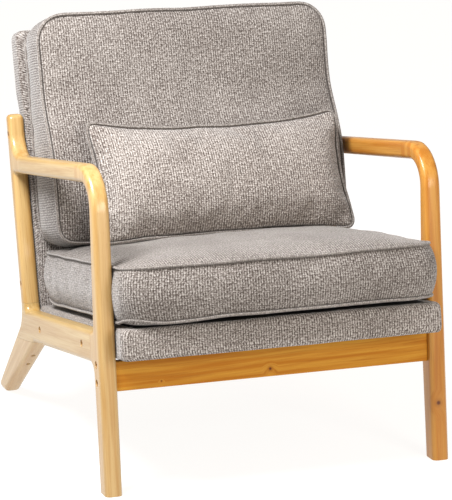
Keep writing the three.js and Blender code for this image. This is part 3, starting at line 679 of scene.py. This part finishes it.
def tube(name, ring, centre, material, radius, out=0.0, up=0.0):
    """A closed tube along a seam's line of points, moved outwards from the cushion's middle and up."""
    ring = smoothed_ring(np.array(ring, float))
    following = np.roll(ring, -1, 0) - np.roll(ring, 1, 0)
    tangent = following / np.linalg.norm(following, axis=1, keepdims=True)
    upward = np.tile(np.array((0.0, 0.0, 1.0)), (len(ring), 1))
    outward = np.cross(tangent, upward)
    outward /= np.linalg.norm(outward, axis=1, keepdims=True)
    inside = (outward * (ring - np.array(centre))).sum(1, keepdims=True) < 0
    outward = np.where(inside, -outward, outward)
    upward = np.cross(outward, tangent)
    points = []
    run = np.concatenate([[0], np.cumsum(np.linalg.norm(np.roll(ring, -1, 0) - ring, axis=1))])
    for k, spot in enumerate(ring):
        thickness = radius * (1 + 0.06 * noise.noise(Vector(spot) * 60))
        for s in range(CORD_SIDES):
            turn = 2 * math.pi * s / CORD_SIDES
            offset = outward[k] * (out + thickness * math.cos(turn))
            offset += upward[k] * (up + thickness * math.sin(turn))
            points.append(spot + offset)
    faces, pattern = [], []
    count = len(ring)
    for k in range(count):
        for s in range(CORD_SIDES):
            after, beside = (k + 1) % count, (s + 1) % CORD_SIDES
            quad = [(k, s), (after, s), (after, beside), (k, beside)]
            faces.append([i * CORD_SIDES + j for i, j in quad])
            girth = [s, s, s + 1, s + 1]
            runs = [run[k], run[k + 1], run[k + 1], run[k]]
            pattern.extend((g * 2 * math.pi * radius / CORD_SIDES, r) for g, r in zip(girth, runs))
    mesh = bpy.data.meshes.new(name)
    mesh.from_pydata([tuple(p) for p in points], [], faces)
    layer = mesh.uv_layers.new(name="pattern")
    layer.data.foreach_set("uv", np.array(pattern, float).ravel())
    mesh.polygons.foreach_set("use_smooth", [True] * len(mesh.polygons))
    mesh.materials.append(material)
    make_outward(mesh)
    piece = bpy.data.objects.new(name, mesh)
    bpy.context.scene.collection.objects.link(piece)
    subdivide(piece)
    return piece


def make_outward(mesh):
    work = bmesh.new()
    work.from_mesh(mesh)
    bmesh.ops.recalc_face_normals(work, faces=work.faces)
    work.to_mesh(mesh)
    work.free()


def place(piece, matrix, centre, facing=Matrix.Identity(4)):
    """Moves a piece made round its own middle to its place in the chair, through its mesh."""
    piece.data.transform(matrix @ Matrix.Translation(centre) @ facing)
    piece.data.update()


def add_piping(piece, shape, materials, matrix, centre, body, seams, facing=Matrix.Identity(4)):
    """A welt along each named row of the cushion's rim, a cloth-covered cord with a sewn line beside it,
    whose dark thread is also painted shade in the seam's groove.
    Each seam is (name, row of the rim, side of the cushion that its stitches are on)."""
    cord_cloth, thread_and_shade = materials
    points = get_points(piece)
    for label, row, side in seams:
        seam = points[shape.rim[row]]
        middle = (0, 0, seam[:, 2].mean())
        welt = tube(f"{body}_{label}_piping", seam, middle, cord_cloth, CORD_RADIUS, CORD_OUT)
        stitches = tube(f"{body}_{label}_stitches", seam, middle, thread_and_shade, THREAD_RADIUS, *THREAD_AT[side])
        for added in (welt, stitches):
            place(added, matrix, centre, facing)
            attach(added, body)


def finish_soft(piece, material, body, nodes):
    piece.data.materials.append(material)
    make_outward(piece.data)
    subdivide(piece)
    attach(piece, body)
    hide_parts(*nodes)


WOBBLE_SIZE = 70 * MM


def wobble(u, v, seed):
    """A smooth unevenness between about -1 and 1."""
    return noise.noise(Vector((u / WOBBLE_SIZE, v / WOBBLE_SIZE, seed)))


def smooth_step(value, start, end):
    part = min(1.0, max(0.0, (value - start) / (end - start)))
    return part * part * (3 - 2 * part)


def crown(u, v, half_u, half_v, power=2.4):
    """1 in the middle of a face, 0 at its edges, flat-topped."""
    along_u = 1 - abs(u / half_u) ** power
    along_v = 1 - abs(v / half_v) ** power
    return max(0.0, along_u * along_v) ** 0.55


def cornerness(u, v, half_u, half_v, reach):
    """1 at the corners of a face, falling to 0 `reach` away from them."""
    gap = math.hypot(half_u - abs(u), half_v - abs(v))
    return max(0.0, 1 - gap / reach)


def lie_flat(piece, base):
    """Keeps the piece off what it rests on, at w = `base`."""
    points = get_points(piece)
    points[:, 2] = np.maximum(points[:, 2], base + 0.3 * MM)
    set_points(piece, points)


def seam_points(*rings):
    return {index: 1.0 for ring in rings for index in ring}


# ---- Seat cushion ----


def add_seat_cushion(cloth, trims):
    low, high = local_box("seat_cushion_cover", SEAT_TILT)
    centre = (low + high) / 2
    half_u, half_v = (high.x - low.x) / 2 - 2 * MM, (high.y - low.y) / 2 - 3 * MM
    half_w = (high.z - low.z) / 2
    rows = 10
    edge_depth = 60 * MM  # how far in from the front its bow reaches, and from a corner its lift

    def seam_lift(u, v):
        """How far the lower seam is off the deck: it sags at the left end of the front."""
        leftness = 1 - smooth_step(u, 50 * MM - half_u, 200 * MM - half_u)
        frontness = 1 - smooth_step(v, 40 * MM - half_v, 120 * MM - half_v)
        return 10 * MM - 5 * MM * leftness * frontness

    def rim_point(u, v, row):
        part = row / rows
        bulge = 9 * MM * math.sin(math.pi * part) ** 0.8
        corner_lift = (6 - 5 * u / half_u) * MM * cornerness(u, v, half_u, half_v, edge_depth)
        front_bow = (11 - 20 * (u / half_u) ** 2) * MM if v < 0 else 0.0
        edge = max(0.0, abs(v) - (half_v - edge_depth)) / edge_depth
        start = seam_lift(u, v)
        w = (start - half_w) + (2 * half_w - start) * part + corner_lift * (1 - part)
        w += 1.8 * MM * wobble(u, v, 1.0 + 4 * round(part))
        return u * (1 + bulge / half_u), v * (1 + bulge / half_v) - front_bow * edge, w

    def face_height(u, v, side):
        if side < 0:
            inwards = min(half_u - abs(u), half_v - abs(v))
            return seam_lift(u, v) * (1 - smooth_step(inwards, 50 * MM, 150 * MM)) - half_w
        fullness = (19 + 4 * u / half_u) * MM
        return half_w + fullness * crown(u, v, half_u, half_v) + 2 * MM * wobble(u, v, 3.0)

    shape = Cushion("seat_cushion", half_u, half_v, 34 * MM, 9 * MM, rows)
    piece = shape.build(face_height, rim_point)
    held = seam_points(shape.rim[0], shape.rim[-1])
    inflate(piece, held, pressure=3.0, slack=0.012, cap=7 * MM)
    soften(piece, held, 2, 0.4)
    ripple(piece, 60 * MM, 1.6 * MM, 5.0)
    lie_flat(piece, -half_w)
    to_chair = turned(SEAT_TILT)
    seams = (("bottom", 0, "above"), ("top", -1, "boxing"))
    add_piping(piece, shape, trims, to_chair, centre, "seat_cushion", seams)
    place(piece, to_chair, centre)
    finish_soft(piece, cloth, "seat_cushion", ["seat_cushion_cover", "seat_cushion_foam"])
    return piece


# ---- Back cushion and lumbar pillow ----


def add_back_cushion(cloth, trims):
    low, high = local_box("back_cushion_cover", BACK_RAKE)
    centre = (low + high) / 2
    half_u, half_v = (high.x - low.x) / 2, (high.z - low.z) / 2 - 3 * MM
    half_w = (high.y - low.y) / 2
    rows = 12
    rear = -half_w
    rear_round = 12 * MM  # how far the rear seam is in front of what the cushion leans on
    top_step = 40 * MM  # how much thinner the cushion is at its top than at its belly
    shift = 1.5 * MM  # how far the seams sit to the left

    def front_seam(v):
        up = (v + half_v) / (2 * half_v)
        thinning = top_step * smooth_step(up, 0.34, 0.68)
        tuck = 9 * MM * (1 - smooth_step(up, 0.0, 0.12))
        return half_w - 3 * MM - thinning - tuck

    def rim_point(u, v, row):
        part = row / rows
        bulge = 6 * MM * math.sin(math.pi * part) ** 0.8
        inset = 4 * MM * (1 - part)
        start = rear + rear_round
        w = start + (front_seam(v) - start) * part + 2 * MM * wobble(u, v, 11.0 + 4 * round(part))
        return u * (1 + (bulge - inset) / half_u) - shift, v * (1 + (0.5 * bulge - inset) / half_v), w

    def face_height(u, v, side):
        if side > 0:
            fullness = 12 * MM * crown(u, v, half_u, half_v)
            return front_seam(v) + fullness + 2.5 * MM * wobble(u, v, 21.0)
        return rear + rear_round - 11 * MM * crown(u, v, half_u, half_v, 5)

    shape = Cushion("back_cushion", half_u, half_v, 48 * MM, 9 * MM, rows, corner_shares=(0.55, 1))
    piece = shape.build(face_height, rim_point)
    held = seam_points(shape.rim[0], shape.rim[-1])
    inflate(piece, held, pressure=3.0, slack=0.014, cap=7 * MM)
    soften(piece, held, 2, 0.4)
    ripple(piece, 75 * MM, 2.6 * MM, 9.0)
    lie_flat(piece, rear)
    to_chair = turned(BACK_RAKE)
    seams = (("rear", 0, "above"), ("front", -1, "face"))
    add_piping(piece, shape, trims, to_chair, centre, "back_cushion", seams, FACING_FRONT)
    place(piece, to_chair, centre, FACING_FRONT)
    finish_soft(piece, cloth, "back_cushion", ["back_cushion_cover", "back_cushion_foam"])
    return piece


def add_lumbar_pillow(cloth, trims):
    low, high = local_box("lumbar_pillow_cover", PILLOW_RAKE)
    centre = (low + high) / 2
    half_u, half_v = (high.x - low.x) / 2 + 3 * MM, (high.z - low.z) / 2 - 2 * MM
    half_w = (high.y - low.y) / 2
    pulled_u, pulled_v = 12 * MM, 9 * MM  # how far the sides come in between the corners
    ears = 15 * MM  # how far the upper corners stand up
    lean = 0.012  # how far the pillow is turned in its own plane

    def seam(u, v, side=0):
        along_u, along_v = u / half_u, v / half_v
        corner = abs(along_u) ** 3
        new_u = u - pulled_u * (1 - along_v**2) * along_u * corner
        new_v = v - pulled_v * (1 - corner) * along_v * abs(along_v) ** 3
        new_v += ears * corner * max(0.0, along_v) ** 2 + 5 * MM
        return new_u, new_v - lean * new_u

    def rim_point(u, v, row):
        new_u, new_v = seam(u, v)
        return new_u, new_v, 2.5 * MM * wobble(u, v, 31.0)

    def face_height(u, v, side):
        body = (1 - (u / half_u) ** 4) * (1 - (v / half_v) ** 2)
        return side * (half_w + 1 * MM) * max(0.0, body) ** 0.52 + 2 * MM * wobble(u, v, 33.0 + side)

    shape = Cushion("lumbar_pillow", half_u, half_v, 20 * MM, 6.5 * MM, 0)
    piece = shape.build(face_height, rim_point, seam)
    held = seam_points(shape.rim[0])
    inflate(piece, held, pressure=3.5, slack=0.03, cap=9 * MM)
    soften(piece, held, 2, 0.35)
    ripple(piece, 55 * MM, 2.2 * MM, 13.0)
    to_chair = turned(PILLOW_RAKE)
    seams = (("edge", 0, "face"),)
    add_piping(piece, shape, trims, to_chair, centre, "lumbar_pillow", seams, FACING_FRONT)
    place(piece, to_chair, centre, FACING_FRONT)
    finish_soft(piece, cloth, "lumbar_pillow", ["lumbar_pillow_cover", "lumbar_pillow_fill"])
    return piece


# ---- Upholstered deck and back panel ----


def wrapped_box(name, half_u, half_v, half_w, radius, edges, squareness, softness, swell, shares):
    """A padded board wrapped in cloth. `edges` are how far its lower and upper edges are rounded in,
    `softness(v)` is the share of that along v, and `swell(u, v)` is how far its sides bulge along u and v."""
    rows = 14

    def rim_point(u, v, row):
        turn = (row / rows - 0.5) * math.pi
        out = math.cos(turn) ** squareness if 0 < row < rows else 0.0
        w = half_w * math.copysign(abs(math.sin(turn)) ** squareness, math.sin(turn))
        inset = edges[int(turn > 0)] * softness(v) * (1 - out)
        grow_u, grow_v = (side * max(0.0, math.cos(turn)) - inset for side in swell(u, v))
        return u * (1 + grow_u / half_u), v * (1 + grow_v / half_v), w + 0.6 * MM * wobble(u, v, 41.0)

    def face_height(u, v, side):
        inwards = min(half_u - abs(u), half_v - abs(v))
        recess = 3 * MM * smooth_step(inwards, 9 * MM, 20 * MM) if side < 0 else 0.0
        return side * (half_w - recess) + 0.6 * MM * wobble(u, v, 41.0)

    def inside(u, v, side):
        edge = edges[side > 0] * softness(v)
        return u * (1 - edge / half_u), v * (1 - edge / half_v)

    shape = Cushion(name, half_u, half_v, radius, 11 * MM, rows, corner_shares=shares)
    piece = shape.build(face_height, rim_point, inside)
    soften(piece, {}, 1, 0.3)
    return piece


def add_seat_deck(cloth, dark_shade_cloth):
    low, high = local_box("seat_deck_cover", SEAT_TILT)
    centre = (low + high) / 2
    half = (high - low) / 2

    def swell(u, v):
        before_legs = 1 - smooth_step(v, 22 * MM - half.y, 34 * MM - half.y)
        rear = smooth_step(v, half.y - 40 * MM, half.y - 10 * MM)
        grow_v = 3.5 * MM * before_legs * (1 - (u / half.x) ** 4) + 9 * MM * rear
        return 7 * MM * before_legs + 1.5 * MM * rear, grow_v

    def softness(v):
        return 1 - 0.8 * smooth_step(v, 0, 0.8 * half.y)

    half_w, edges = half.z - 0.4 * MM, (2 * MM, 16 * MM)
    piece = wrapped_box(
        "seat_deck", half.x, half.y, half_w, 11 * MM, edges, 0.4, softness, swell, shares=(1, 0.2)
    )
    ripple(piece, 70 * MM, 0.7 * MM, 17.0)
    # Painted shade: the deck's top under the cushion is dark cloth, which darkens the gap under the cushion's
    # front where shade falls. It is also a guess at a real dark cloth there, put in because the photo's gap
    # there is black.
    for face in piece.data.polygons:
        x, y, z = face.center
        in_painted_shade = abs(x) < half.x - 24 * MM and y > 10 * MM - half.y and z > half_w - 4 * MM
        face.material_index = int(in_painted_shade)
    place(piece, turned(SEAT_TILT), centre)
    finish_soft(piece, cloth, "frame", ["seat_deck_cover", "seat_deck_foam"])
    piece.data.materials.append(dark_shade_cloth)
    return piece


def add_back_panel(cloth):
    low, high = local_box("back_panel_cover", BACK_RAKE)
    centre = (low + high) / 2
    half = (high - low) / 2

    def swell(u, v):
        return 5.5 * MM * smooth_step(v, 0.4 * half.z, 0.6 * half.z), 5 * MM * (v < 0)

    def softness(v):
        return 0.3 + 0.7 * smooth_step(v, -0.9 * half.z, -0.5 * half.z)

    half_w, edges = half.y - 0.8 * MM, (5 * MM, 9 * MM)
    piece = wrapped_box(
        "back_panel", half.x, half.z, half_w, 14 * MM, edges, 0.3, softness, swell, shares=(0.3, 1)
    )
    ripple(piece, 70 * MM, 0.8 * MM, 19.0)
    place(piece, turned(BACK_RAKE), centre, FACING_FRONT)
    finish_soft(piece, cloth, "frame", ["back_panel_cover", "back_panel_foam"])
    return piece


# ---- Thin cloths ----


def add_backing(name, node, angle, across, material):
    """A thin cloth stretched over an opening and tacked all round: `across` is the axis of its thickness."""
    low, high = local_box(node, angle)
    centre = (low + high) / 2
    half = (high - low) / 2
    half_u = half.x
    half_v = half.y if across == "z" else half.z
    half_w = half.z if across == "z" else half.y
    us = np.linspace(-half_u, half_u, 60)
    vs = np.linspace(-half_v, half_v, 56)
    points, faces, pattern = [], [], []
    for v in vs:
        for u in us:
            sag = 0.45 * half_w * crown(u, v, half_u, half_v)
            tack = 0.15 * half_w * math.sin(u / (9 * MM)) * math.sin(v / (9 * MM))
            points.append((u, v, sag + tack))
    for j in range(len(vs) - 1):
        for i in range(len(us) - 1):
            spots = ((i, j), (i + 1, j), (i + 1, j + 1), (i, j + 1))
            faces.append([b * len(us) + a for a, b in spots])
            pattern.extend((us[a], vs[b]) for a, b in spots)
    mesh = bpy.data.meshes.new(name)
    mesh.from_pydata(points, [], faces)
    layer = mesh.uv_layers.new(name="pattern")
    layer.data.foreach_set("uv", np.array(pattern, float).ravel())
    mesh.polygons.foreach_set("use_smooth", [True] * len(mesh.polygons))
    mesh.materials.append(material)
    piece = bpy.data.objects.new(name, mesh)
    bpy.context.scene.collection.objects.link(piece)
    facing = Matrix.Identity(4) if across == "z" else FACING_FRONT
    place(piece, turned(angle), centre, facing)
    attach(piece, "frame")
    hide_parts(node)


def main():
    add_camera()
    add_studio()
    cloth = upholstery("melange_cloth", CLOTH)
    cord_cloth = upholstery("piping_cloth", PIPING_CLOTH)
    thread_and_shade = plain("seam_thread_and_shade", SEAM_THREAD_AND_SHADE, 0.9, 2500, 0.1 * MM, vary=0.4)
    trims = (cord_cloth, thread_and_shade)
    dress_frame()
    # The dark backing cloth is real on the dust covers, and on the deck's top it is also painted shade.
    backing = plain("backing_cloth", BACKING_AND_SHADE, 0.9, 1600, 0.15 * MM, vary=0.5)
    for part in frame["record"]["subparts"]:
        if part["material_slot"] == "upholstery":
            dress(part["node"], cloth)
        if part["material_slot"] == "dust_cloth":
            dress(part["node"], backing)
    # The deck, seat, back and pillow cloths are lit and shaded copies of one cloth: painted light and painted
    # shade.
    add_seat_deck(upholstery("deck_cloth", CLOTH, DECK_PAINTED_LIGHT), backing)
    add_back_panel(cloth)
    add_backing("rear_cloth", "back_rear_cloth", BACK_RAKE, "y", cloth)
    add_backing("dust_cover", "seat_dust_cover", SEAT_TILT, "z", backing)
    seat = add_seat_cushion(upholstery("seat_cloth", CLOTH, SEAT_PAINTED_SHADE), trims)
    back = add_back_cushion(upholstery("back_cloth", CLOTH, BACK_PAINTED_SHADE), trims)
    pillow = add_lumbar_pillow(upholstery("pillow_cloth", CLOTH, PILLOW_PAINTED_LIGHT), trims)
    settle(back, seat)
    for neighbour in (back, seat):
        settle(pillow, neighbour)


main()
